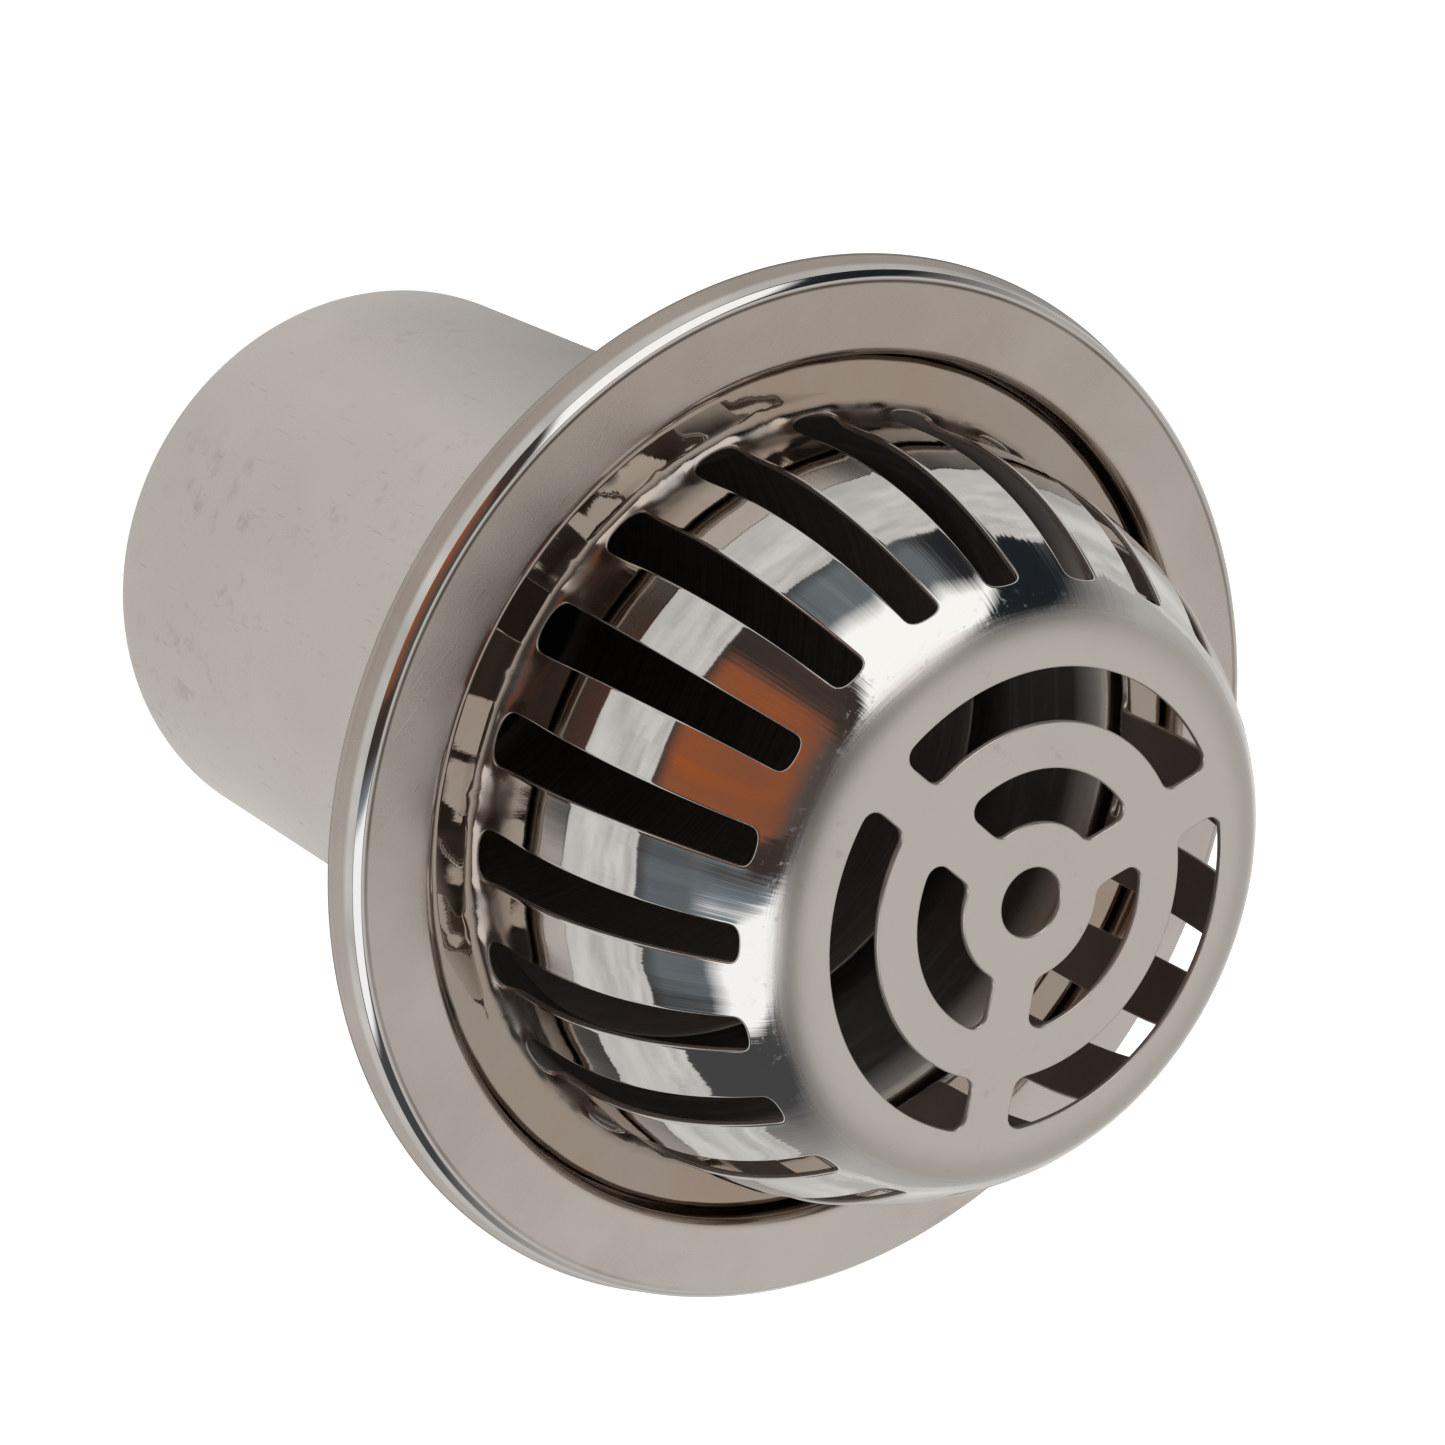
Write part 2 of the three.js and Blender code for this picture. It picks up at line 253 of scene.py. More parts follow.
def turned(section, steps, wave=None):
    """A section carried round the Z axis: (r cos t, r sin t, z), with r + wave(t, section) where there is a
    wave."""
    t = np.linspace(0, 2 * math.pi, steps, endpoint=False)
    r, z, side = (np.broadcast_to(column, (steps, len(section))) for column in section.T)
    if wave is not None:
        r = r + wave(t[:, None], section)
    points = np.stack([r * np.cos(t)[:, None], r * np.sin(t)[:, None], z, side], -1)
    return points, grid_faces(steps, len(section), True, True)


def welded(blocks):
    """Several blocks of points and quads put together, with the points that coincide made one."""
    points, faces, first = [], [], 0
    for block_points, block_faces in blocks:
        flat = block_points.reshape(-1, 4)
        points.append(flat)
        faces.append(block_faces + first)
        first += len(flat)
    points, faces = np.concatenate(points), np.concatenate(faces)
    keys = np.round(points[:, :3] / SAME_PLACE).astype(np.int64)
    _, kept, merged = np.unique(keys, axis=0, return_index=True, return_inverse=True)
    return points[kept], merged.reshape(-1)[faces]


# ---------------------------------------------------------------- the strainer's sheet

EDGE_SET_BACK = 0.55 * MM  # from a cut edge to the first row of flat sheet
ROUND_SAMPLES = 12  # points round the dome for each slot
SIDE_SAMPLES = 44  # points along a slot's side
CORNER_SAMPLES = 10  # points round a window's corner
SKIRT_ROWS = 37
SHOULDER_ROWS = 18


class DomeSheet:
    """The strainer as a sheet of even thickness turned round the Z axis. A place on it is (angle, s,
    depth): s runs along the outer line from the rim's foot to the middle of the top plate, and depth goes
    into the metal."""

    def __init__(self, sizes, recess):
        k = sizes
        self.sizes = k
        self.thickness = k.sheet
        skirt = recess - k.clearance
        barrel = skirt - k.skirt_width
        self.skirt_top = FACE - k.skirt_drop
        self.top = FACE + k.height
        turn = k.sheet + k.rim_bend
        rise = self.top - k.shoulder - FACE - k.foot
        reach = k.barrel_curve - k.shoulder
        swing = math.degrees(math.asin(rise / reach))
        self.plate = barrel - k.barrel_curve + reach * math.cos(math.radians(swing))
        line = np.concatenate([
            [[skirt, self.skirt_top - k.rim_depth]],
            arc(skirt - turn, self.skirt_top - turn, turn, 0, 90, 9),
            arc(barrel + k.fillet, self.skirt_top + k.fillet, k.fillet, 270, 180, 17),
            arc(barrel - k.barrel_curve, FACE + k.foot, k.barrel_curve, 0, swing, 61),
            arc(self.plate, self.top - k.shoulder, k.shoulder, swing, 90, 33)[1:],
            [[0.0, self.top]],
        ])
        self.line = evened(line, 0.15 * MM)
        steps = np.linalg.norm(np.diff(self.line, axis=0), axis=1)
        self.s = np.concatenate([[0], np.cumsum(steps)])
        self.normal = -normals_of(self.line)
        self.pitch = 2 * math.pi / k.slots
        self.first_slot = -math.pi / 2 + self.pitch / k.spokes

    def at_height(self, z, low, high):
        """s where the outer line has height z, searched between two fractions of the line's points."""
        rows = slice(int(low * len(self.s)), int(high * len(self.s)))
        return float(np.interp(z, self.line[rows, 1], self.s[rows]))

    def at_radius(self, r):
        """s on the flat top plate at radius r."""
        return self.s[-1] - r

    def radius(self, s):
        """Radius of the outer line at s."""
        return np.interp(s, self.s, self.line[:, 0])

    def points(self, angle, s, depth, lift=0.0):
        """The outer line at s, minus (depth - lift) along its outward normal, turned by the angle."""
        r, z = (np.interp(s, self.s, self.line[:, axis]) for axis in (0, 1))
        out, up = (np.interp(s, self.s, self.normal[:, axis]) for axis in (0, 1))
        r = r - (depth - lift) * out
        z = z - (depth - lift) * up
        side = np.broadcast_to(depth / self.thickness, r.shape)
        return np.stack([r * np.cos(angle), r * np.sin(angle), z, side], -1)


def rim_rows(k):
    """Distance back from a cut edge, and depth, of the rows that go round it from the outer to the inner
    side: a quarter round of radius edge_round at either side of the sheet."""
    a = np.radians([90, 60, 30, 0])
    depth = np.concatenate([[0.0], k.edge_round * (1 - np.sin(a))])
    back = np.concatenate([[EDGE_SET_BACK], k.edge_round * (1 - np.cos(a))])
    return np.concatenate([back, back[::-1]]), np.concatenate([depth, (k.sheet - depth)[::-1]])


def cut_cell(sheet, outline, border, to_surface, between):
    """A patch of sheet with one hole: rows of points go from the patch's border to the hole's outline on
    the outer side, round the cut edge, and back on the inner side. A row is outline + w (border - outline).
    An outline and a border are each given twice: as places on the sheet, and laid flat for measuring."""
    back, depth = rim_rows(sheet.sizes)
    span = np.linalg.norm(border[1] - outline[1], axis=1)[:, None]
    w_edge = np.clip(back[None, :] / span, 0, 0.8)
    grow = (np.arange(1, between + 1) / between) ** 1.25
    w_flat = w_edge[:, :1] + (1 - w_edge[:, :1]) * grow[::-1][None, :]
    w = np.concatenate([w_flat, w_edge, w_flat[:, ::-1]], 1)
    depths = np.concatenate([
        np.zeros_like(w_flat), np.broadcast_to(depth, w_edge.shape), np.full_like(w_flat, sheet.thickness)
    ], 1)
    place = outline[0][:, None, :] + w[..., None] * (border[0] - outline[0])[:, None, :]
    return to_surface(place, depths, w, span), grid_faces(*w.shape, close_rows=True)


def slot_outline(sheet, foot, top):
    """A slot's outline as (angle from its middle, s). Its sides lean together as its width goes evenly from
    foot to top, and with t from -90 to 90 degrees an end is (half |sin t|^p, end |cos t|^p), p = 0.8, a
    squarish round."""
    k = sheet.sizes
    bluntness = 0.8

    def half(s):
        share = (s - foot) / (top - foot)
        return (k.slot_foot_width + (k.slot_top_width - k.slot_foot_width) * share) / 2 / sheet.radius(s)

    t = np.linspace(-math.pi / 2, math.pi / 2, ROUND_SAMPLES + 1)
    bow = np.sign(np.sin(t)) * np.abs(np.sin(t)) ** bluntness
    sag = np.abs(np.cos(t)) ** bluntness
    end = k.slot_end
    s = foot + end + (top - foot - 2 * end) * np.linspace(0, 1, SIDE_SAMPLES + 1)
    foot_end = np.stack([half(foot + end) * bow, foot + end - end * sag], 1)
    top_end = np.stack([half(top - end) * bow, top - end + end * sag], 1)
    return np.concatenate([
        foot_end[:-1],
        np.stack([half(s), s], 1)[:-1],
        top_end[::-1][:-1],
        np.stack([-half(s), s], 1)[::-1][:-1],
    ])


def slot_border(sheet, low, high):
    """The border of a slot's patch as (angle from its middle, s), in the order of the slot's outline."""
    aside = sheet.pitch / 2
    flat = np.linspace(-aside, aside, ROUND_SAMPLES + 1)
    s = low + (high - low) * np.linspace(0, 1, SIDE_SAMPLES + 1)
    return np.concatenate([
        np.stack([flat, np.full_like(flat, low)], 1)[:-1],
        np.stack([np.full_like(s, aside), s], 1)[:-1],
        np.stack([flat[::-1], np.full_like(flat, high)], 1)[:-1],
        np.stack([np.full_like(s, -aside), s[::-1]], 1)[:-1],
    ])


def slot_cells(sheet):
    """The barrel's patches, one slot in each, and where they begin and end. The metal beside a slot's edge,
    w span away, is lifted by burr (0.3 + 0.9 exp(-(height / 2.2 mm)^2)) exp(-(w span) / 1.1 mm) (1 - w),
    where the height is measured from 1.6 mm above the slot's foot."""
    k = sheet.sizes
    foot = sheet.at_height(sheet.skirt_top + k.slot_foot_set, 0.06, 0.5)
    top = sheet.at_height(sheet.top - k.slot_top_set, 0.3, 0.8)
    low, high = foot - 2.9 * MM, top + 4.2 * MM
    outline, border = slot_outline(sheet, foot, top), slot_border(sheet, low, high)

    def flattened(places):
        return np.stack([places[:, 0] * sheet.radius(places[:, 1]), places[:, 1]], 1)

    blocks = []
    for index in range(k.slots):
        middle = sheet.first_slot + index * sheet.pitch

        def to_surface(place, depth, w, span, middle=middle):
            near = np.exp(-w * span / (1.1 * MM)) * (1 - w)
            at_foot = np.exp(-(((place[..., 1] - foot - 1.6 * MM) / (2.2 * MM)) ** 2))
            lift = k.burr * (0.9 * near * at_foot + 0.3 * near)
            return sheet.points(middle + place[..., 0], place[..., 1], depth, lift)

        hole, edge = (outline, flattened(outline)), (border, flattened(border))
        blocks.append(cut_cell(sheet, hole, edge, to_surface, 5))
    return blocks, low, high


def window_outline(outer, inner, width, corner, span):
    """Outline of one window between two spokes, in the plane of the top plate with one spoke along X: the
    outer arc, the far end, the inner arc and the near end, with round corners. The far half mirrors the
    near half about the line midway between the spokes. Points come in the order of the cell's border."""
    set_back = width / 2 + corner

    def corner_centre(radius):
        return math.sqrt(radius**2 - set_back**2), math.asin(set_back / radius)

    far_reach, far_angle = corner_centre(outer - corner)
    near_reach, near_angle = corner_centre(inner + corner)
    upper = arc(far_reach, set_back, corner, -90, math.degrees(far_angle), CORNER_SAMPLES)
    lower = arc(near_reach, set_back, corner, math.degrees(near_angle) + 180, 270, CORNER_SAMPLES)
    mirror = np.array([[math.cos(span), math.sin(span)], [math.sin(span), -math.cos(span)]])
    outer_arc = arc(0, 0, outer, math.degrees(far_angle), math.degrees(span - far_angle), 80)
    inner_arc = arc(0, 0, inner, math.degrees(span - near_angle), math.degrees(near_angle), 60)
    outer_side = np.concatenate([upper, outer_arc[1:-1], (upper @ mirror.T)[::-1]])
    inner_side = np.concatenate([(lower @ mirror.T)[::-1], inner_arc[1:-1], lower])
    far_end = np.stack([outer_side[-1], inner_side[0]])
    near_end = np.stack([inner_side[-1], outer_side[0]])
    return outer_side, far_end, inner_side, near_end


def spread(line, count):
    """count + 1 points at even distances along a polyline."""
    steps = np.linalg.norm(np.diff(line, axis=0), axis=1)
    run = np.concatenate([[0], np.cumsum(steps)])
    want = np.linspace(0, run[-1], count + 1)
    return np.stack([np.interp(want, run, line[:, axis]) for axis in (0, 1)], 1)


def window_cells(sheet):
    """The top plate's patches between the spokes, one window in each, in two rings, and the boss's radius."""
    k = sheet.sizes
    span = 2 * math.pi / k.spokes
    across = ROUND_SAMPLES * k.slots // k.spokes
    outer = sheet.plate - k.window_margin
    inner = outer - k.window_spacing
    middle_ring = (outer - k.window_width + inner) / 2
    boss = (inner - k.window_width + k.hole) / 2
    blocks = []
    for window, high, low, side in ((outer, sheet.plate, middle_ring, 10), (inner, middle_ring, boss, 12)):
        lines = window_outline(window, window - k.window_width, k.spoke_width, k.window_corner, span)
        counts = (across, side, across, side)
        outline = np.concatenate([spread(line, count)[:-1] for line, count in zip(lines, counts)])
        rim, hub = (arc(0, 0, radius, 0, math.degrees(span), across + 1) for radius in (high, low))
        edges = (
            rim, np.linspace(rim[-1], hub[-1], side + 1), hub[::-1], np.linspace(hub[0], rim[0], side + 1)
        )
        border = np.concatenate([edge[:-1] for edge in edges])
        for index in range(k.spokes):
            start = -math.pi / 2 + index * span

            def to_surface(place, depth, w, gap, start=start):
                angle = np.arctan2(place[..., 1], place[..., 0]) + start
                return sheet.points(angle, sheet.at_radius(np.hypot(place[..., 0], place[..., 1])), depth)

            blocks.append(cut_cell(sheet, (outline, outline), (border, border), to_surface, 4))
    return blocks, boss


def ring_block(sheet, angles, s, depth, flip=False):
    """A ring of the sheet: every angle by every s, each s with its depth. The quads face out of the metal
    where s grows on the outer side, and flip turns them round."""
    t, s_grid = np.meshgrid(angles, s, indexing="ij")
    points = sheet.points(t, s_grid, np.broadcast_to(depth, s_grid.shape))
    faces = grid_faces(*s_grid.shape, close_rows=True)
    return points, faces[:, ::-1] if flip else faces


def skirt_block(sheet, angles, low):
    """Down the outer side, round the rim's foot, whose edge is rounded, and up the inner side."""
    a = np.linspace(0, math.pi, 9)
    foot_s = sheet.sizes.foot_round * (1 - np.sin(a))
    foot_depth = sheet.thickness * (1 - np.cos(a)) / 2
    rows = np.linspace(foot_s[0], low, SKIRT_ROWS)
    s = np.concatenate([rows[::-1], foot_s[1:-1], rows])
    depth = np.concatenate([np.zeros(SKIRT_ROWS), foot_depth[1:-1], np.full(SKIRT_ROWS, sheet.thickness)])
    return ring_block(sheet, angles, s, depth, flip=True)


def boss_block(sheet, angles, boss):
    """In along the outer side to the centre hole, round its cut edge, and back on the inner side."""
    k = sheet.sizes
    back, edge_depth = rim_rows(k)
    flat = np.linspace(boss, k.hole + EDGE_SET_BACK, 5)[:-1]
    r = np.concatenate([flat, k.hole + back, flat[::-1]])
    depth = np.concatenate([np.zeros_like(flat), edge_depth, np.full_like(flat, k.sheet)])
    return ring_block(sheet, angles, sheet.at_radius(r), depth)


def dome_mesh(sheet):
    """The whole strainer: barrel and top plate in patches with a hole in each, and rings between them."""
    slots, low, high = slot_cells(sheet)
    windows, boss = window_cells(sheet)
    step = sheet.pitch / ROUND_SAMPLES
    angles = sheet.first_slot - sheet.pitch / 2 + step * np.arange(sheet.sizes.slots * ROUND_SAMPLES)
    shoulder = np.linspace(high, sheet.at_radius(sheet.plate), SHOULDER_ROWS)
    return welded([
        *slots,
        *windows,
        skirt_block(sheet, angles, low),
        ring_block(sheet, angles, shoulder, 0.0),
        ring_block(sheet, angles, shoulder, sheet.thickness, flip=True),
        boss_block(sheet, angles, boss),
    ])


# ---------------------------------------------------------------- finishes


class Value:
    """A socket, so that shader maths reads as Python: 1 - mask * 0.4."""

    def __init__(self, graph, socket):
        self.graph = graph
        self.socket = socket

    def maths(self, operation, *others):
        return self.graph.maths(operation, self, *others)

    def __add__(self, other):
        return self.maths("ADD", other)

    def __radd__(self, other):
        return self.graph.maths("ADD", other, self)

    def __sub__(self, other):
        return self.maths("SUBTRACT", other)

    def __rsub__(self, other):
        return self.graph.maths("SUBTRACT", other, self)

    def __mul__(self, other):
        return self.maths("MULTIPLY", other)

    def __rmul__(self, other):
        return self.graph.maths("MULTIPLY", other, self)

    def __truediv__(self, other):
        return self.maths("DIVIDE", other)

    def __rtruediv__(self, other):
        return self.graph.maths("DIVIDE", other, self)

    def __pow__(self, other):
        return self.maths("POWER", other)

    def __rpow__(self, other):
        return self.graph.maths("POWER", other, self)

    def __abs__(self):
        return self.maths("ABSOLUTE")

    def ramp(self, low, high):
        """0 below low, 1 above high, a straight line between them."""
        return ((self - low) / (high - low)).maths("MAXIMUM", 0.0).maths("MINIMUM", 1.0)


class Graph:
    """The nodes of a material or of the world. Every node is made by one method."""

    def __init__(self, tree):
        self.tree = tree

    def node(self, kind, settings, sockets, output=0):
        """A node of that kind with its settings made first and its sockets given values or links."""
        made = self.tree.nodes.new(kind)
        for key, value in settings.items():
            setattr(made, key, value)
        for key, value in sockets.items():
            if isinstance(value, Value):
                self.tree.links.new(value.socket, made.inputs[key])
            else:
                made.inputs[key].default_value = value
        return Value(self, made.outputs[output])

    def maths(self, operation, *operands):
        return self.node("ShaderNodeMath", {"operation": operation}, dict(enumerate(operands)))

    def together(self, x, y, z):
        """Three numbers as one place."""
        return self.node("ShaderNodeCombineXYZ", {}, {0: x, 1: y, 2: z})

    def noise(self, scale, detail, roughness, place):
        sockets = {"Vector": place, "Scale": scale, "Detail": detail, "Roughness": roughness}
        return self.node("ShaderNodeTexNoise", {}, sockets)

    def mix(self, share, first, second):
        """A colour between two colours."""
        tints = (tint if isinstance(tint, Value) else (*tint, 1.0) for tint in (first, second))
        sockets = dict(zip((0, 6, 7), (share, *tints)))
        return self.node("ShaderNodeMix", {"data_type": "RGBA"}, sockets, output=2)


class Finish(Graph):
    """A finish: a Principled surface, and the nodes that vary it over the piece."""

    def __init__(self, name, metallic=1.0):
        self.material = bpy.data.materials.new(name)
        self.material.use_nodes = True
        super().__init__(self.material.node_tree)
        self.shader = self.tree.nodes["Principled BSDF"]
        self.shader.inputs["Metallic"].default_value = metallic
        self.place = self.node("ShaderNodeTexCoord", {}, {}, output="Object")
        self.x, self.y, self.z = (
            self.node("ShaderNodeSeparateXYZ", {}, {0: self.place}, output=axis) for axis in range(3)
        )
        self.radius = (self.x * self.x + self.y * self.y) ** 0.5
        self.angle = self.y.maths("ARCTAN2", self.x)
        self.side = self.node("ShaderNodeAttribute", {"attribute_name": "side"}, {}, output=2)

    def marks(self, scale, detail, roughness):
        """A noise that is as coarse in every direction."""
        return self.noise(scale, detail, roughness, self.place)

    def drawn_out(self, scales, detail, roughness):
        """A noise with a scale of its own along each axis, for straight scratches."""
        place = self.node("ShaderNodeMapping", {}, {"Vector": self.place, "Scale": scales})
        return self.noise(1.0, detail, roughness, place)

    def rings(self, around, along, across, detail, roughness):
        """A noise of (angle * around, height * along, radius * across), for marks that run round the axis."""
        place = self.together(self.angle * around, self.z * along, self.radius * across)
        return self.noise(1.0, detail, roughness, place)

    def bump(self, height, distance, under=None):
        """A normal for a height in the range 0 to 1, on top of another normal where one is given."""
        sockets = {"Height": height, "Distance": distance, "Strength": 1.0}
        if under is not None:
            sockets["Normal"] = under
        return self.node("ShaderNodeBump", {}, sockets)

    def feed(self, **sockets):
        """Links values to the surface's sockets and gives the finished material."""
        for key, value in sockets.items():
            self.tree.links.new(value.socket, self.shader.inputs[key.replace("_", " ")])
        return self.material


MIRROR = 0.08  # roughness of a polished edge
FINE_GRAIN = 0.006 * MM  # depth of the grain of satin steel
BARE = 0.45  # how far unpolished, dirty steel is from a clean metal


def flange_finish(tints, k):
    """Satin sheet with smudges and fine scratches, with painted shade that makes one side darker and browner
    and tints the recess brown.
    Its outer edge is polished, with a painted dark reflection line inside it on the shaded side, and the bowl
    is rough and darkens with depth as painted shade."""
    f = Finish("satin stainless flange")
    smudge = f.marks(28.0, 4.0, 0.6)
    grain = f.marks(2600.0, 2.0, 0.6)
    scratches = f.drawn_out((90.0, 2600.0, 900.0), 3.0, 0.55).ramp(0.62, 0.70)
    lip, recess, seat = k.lip_radius, k.lip_radius - k.rim_width, FACE - k.recess_depth
    edge = f.radius.ramp(lip - 1.45 * MM, lip - 1.15 * MM) * f.z.ramp(FACE - 2.9 * MM, FACE - 2.2 * MM)
    inside = 1 - f.radius.ramp(recess + 0.8 * MM, recess + 1.6 * MM)
    above_seat = f.z.ramp(seat - 1.5 * MM, seat)
    polished = edge.maths("MAXIMUM", inside * above_seat * 0.45)
    bowl = (1 - above_seat) * (1 - f.side)
    satin = 0.27 + (smudge - 0.5) * 0.20 + (grain - 0.5) * 0.06 - scratches * 0.10 + bowl * 0.16
    rough = satin * (1 - polished) + polished * MIRROR + bowl * (1 - polished) * 0.1
    # painted shade: the side away from +x and +y turns darker and browner, with a smudgy edge from the noise
    shaded_side = (0.5 - f.x * 3.3 - f.y * 5.7 + (smudge - 0.5) * 1.4).ramp(0.0, 1.0)
    # painted reflection: a dark band where the face turns into the rounded edge, on the shaded side only
    dark_reflection_line = f.radius.ramp(lip - 2.1 * MM, lip - 1.8 * MM)
    dark_reflection_line = dark_reflection_line * (1 - f.radius.ramp(lip - 1.6 * MM, lip - 1.4 * MM))
    # painted shade: the bowl darkens with depth, with drawn rings in it
    deep = 1 - f.z.ramp(FACE - 12.0 * MM, seat - 0.8 * MM)
    drawn = f.rings(3.0, 700.0, 500.0, 3.0, 0.6)
    face = f.mix(dark_reflection_line * shaded_side, f.mix(shaded_side * 0.72, tints.satin, tints.shaded_side), tints.dark_reflection_line)
    bowl_depth_shade = f.mix(deep + (drawn - 0.5) * 0.3, tints.satin, tints.bowl)
    # painted shade: the recess inside the face is tinted browner, and the bowl takes its painted shade by
    # depth
    tint = f.mix(edge, f.mix(bowl, f.mix(inside * 0.35, face, tints.stain_and_shade), bowl_depth_shade), tints.edge)
    normal = f.bump(grain * (1 - polished), FINE_GRAIN)
    normal = f.bump(scratches * (1 - polished), 0.004 * MM, normal)
    return f.feed(Base_Color=tint, Roughness=rough, Metallic=1 - bowl * deep * BARE, Normal=normal)


def pipe_finish(tints, k):
    """Satin tube with faint rings from polishing, smudges, scratches, heat colours under the weld, a duller
    rolled end and a rough inside, darker with painted shade."""
    f = Finish("satin stainless pipe")
    rings = f.rings(2.0, 1500.0, 0.0, 3.0, 0.6)
    scuff = f.marks(45.0, 5.0, 0.65)
    grain = f.marks(2400.0, 2.0, 0.5)
    end = 1 - f.z.ramp(2.2 * MM, 3.4 * MM)
    smudge = f.marks(190.0, 3.0, 0.6).ramp(0.58, 0.70) * f.marks(24.0, 2.0, 0.5).ramp(0.48, 0.62)
    cloud = f.marks(16.0, 3.0, 0.6).ramp(0.35, 0.7)
    scratch = f.drawn_out((2300.0, 150.0, 170.0), 2.0, 0.5).ramp(0.69, 0.74)
    rough = 0.26 + (rings - 0.5) * 0.10 + (scuff - 0.5) * 0.12 + end * 0.10 + f.side * 0.2
    joint = FACE - k.joint_depth
    heat = f.z.ramp(joint - 9 * MM, joint) * scuff.ramp(0.35, 0.65)
    worn = f.mix(smudge * 0.3 + scratch * 0.4 + cloud * 0.22, tints.pipe, tints.worn)
    outside = f.mix(heat * 0.4, f.mix(end * 0.35, worn, tints.pipe_end), tints.stain_and_shade)
    # painted shade: the inside of the pipe is darker than the outside, in drawn rings
    inside = f.mix(rings.ramp(0.3, 0.7), tints.inside_dark, tints.inside_light)
    normal = f.bump(grain, FINE_GRAIN, f.bump(rings, FINE_GRAIN))
    tint = f.mix(f.side, outside, inside)
    return f.feed(Base_Color=tint, Roughness=rough, Metallic=1 - f.side * BARE, Normal=normal)


def weld_finish(tints):
    """Rippled weld metal with straw and grey heat colours."""
    f = Finish("weld metal")
    blotch = f.marks(160.0, 4.0, 0.6)
    tint = f.mix(blotch.ramp(0.35, 0.7), tints.satin, tints.stain_and_shade)
    return f.feed(Base_Color=tint, Roughness=0.34 + (blotch - 0.5) * 0.2, Normal=f.bump(blotch, 0.05 * MM))


def slot_lumps(f, sheet):
    """1 in the middle of a small lump at each lower corner of a slot, where the punch pushed the metal up,
    falling off as exp(-(distance / 2 mm)^2): the distance is along the skirt from 4.6 mm beside the slot's
    middle, and up from 2.2 mm above the skirt."""
    slot = ((f.angle - sheet.first_slot) / sheet.pitch + 0.5).maths("FRACT")
    beside = abs(slot - 0.5) * f.radius * sheet.pitch - 4.6 * MM
    above = f.z - sheet.skirt_top - 2.2 * MM
    size = 2.0 * MM
    return (0.0 - ((beside / size) ** 2.0 + (above / size) ** 2.0)).maths("EXPONENT")


def dome_finish(tints, sheet):
    """Mirror-polished sides with a satin fillet, painted shade that darkens the fillet and the skirt, and a
    painted brown reflection low on the barrel;
    a satin top plate whose border is a fuzzy ring of turning marks; a duller inside, browner with painted
    shade."""
    f = Finish("polished stainless dome")
    inner, outer = f.side, 1 - f.side
    marks = f.rings(2.5, 2600.0, 1800.0, 4.0, 0.6)
    wander = f.marks(70.0, 3.0, 0.6)
    grain = f.marks(2800.0, 2.0, 0.6)
    smear = f.marks(40.0, 4.0, 0.6)
    border = sheet.top - 2.3 * MM
    edge = f.z + (marks - 0.5) * (1.5 * MM) + (wander - 0.5) * (0.8 * MM)
    satin = edge.ramp(border - 0.8 * MM, border + 0.6 * MM)
    dull = satin.maths("MAXIMUM", inner)
    low, high = sheet.skirt_top, sheet.skirt_top + 8.0 * MM
    fillet = f.z.ramp(low + 0.15 * MM, low + 0.9 * MM) * (1 - f.z.ramp(low + 3.6 * MM, high))
    flecks = f.marks(850.0, 2.0, 0.6).ramp(0.60, 0.68) * f.z.ramp(border - 5.0 * MM, border - 0.5 * MM)
    polish = 0.04 + smear.ramp(0.5, 0.8) * 0.05 + fillet * 0.32 + flecks * 0.22
    lump = slot_lumps(f, sheet) * outer
    rough = polish * (1 - dull) + dull * (0.31 + (grain - 0.5) * 0.08 + (smear - 0.5) * 0.1 + inner * 0.12)
    rough = rough - lump * fillet * 0.16
    skirt = 1 - f.z.ramp(low + 0.15 * MM, low + 1.5 * MM)
    # painted reflection: the mirror low on the barrel is browned in blotches, like the brown flange it faces
    brown = (1 - f.z.ramp(high, low + 22.0 * MM)) * smear.ramp(0.35, 0.65)
    # painted shade: the fillet and the skirt take darker colours
    sides = f.mix(skirt, f.mix(fillet, tints.polish, tints.fillet), tints.skirt)
    sides = f.mix(brown * 0.5, sides, tints.stain_and_shade)
    specks = f.marks(330.0, 3.0, 0.6).ramp(0.64, 0.72) * smear.ramp(0.45, 0.6)
    plate = f.mix(specks * 0.35 + (smear - 0.5) * 0.3, tints.satin, tints.speck)
    # painted shade: the inside of the dome is tinted browner
    tint = f.mix(inner * 0.45, f.mix(dull, sides, plate), tints.stain_and_shade)
    waves = f.marks(120.0, 1.0, 0.5) * 0.9 + f.rings(34.0, 14.0, 30.0, 3.0, 0.6) * 0.45
    normal = f.bump(grain * dull, FINE_GRAIN)
    normal = f.bump(waves * (1 - dull) * (1 - fillet), 0.05 * MM, normal)
    normal = f.bump(lump, sheet.sizes.lump, normal)
    normal = f.bump(marks * satin, 0.008 * MM, normal)
    return f.feed(Base_Color=tint, Roughness=rough, Metallic=1 - inner * BARE, Normal=normal)


# ---------------------------------------------------------------- pieces


def polished_edge(r, z, radius, lean):
    """The rounded outer edge, polished flatter in its middle: the round of the given radius from lean to 20
    degrees and from 70 to 90 degrees, joined by a wider round about the same 45 degree line, through the
    same two points."""
    half, wide = math.radians(25), 2.6 * radius
    swing = math.degrees(math.asin(radius * math.sin(half) / wide))
    back = (radius * math.cos(half) - wide * math.cos(math.radians(swing))) * math.sqrt(0.5)
    return np.concatenate([
        arc(r, z, radius, lean, 20, 5)[:-1],
        arc(r + back, z + back, wide, 45 - swing, 45 + swing, 9),
        arc(r, z, radius, 70, 90, 5)[1:],
    ])


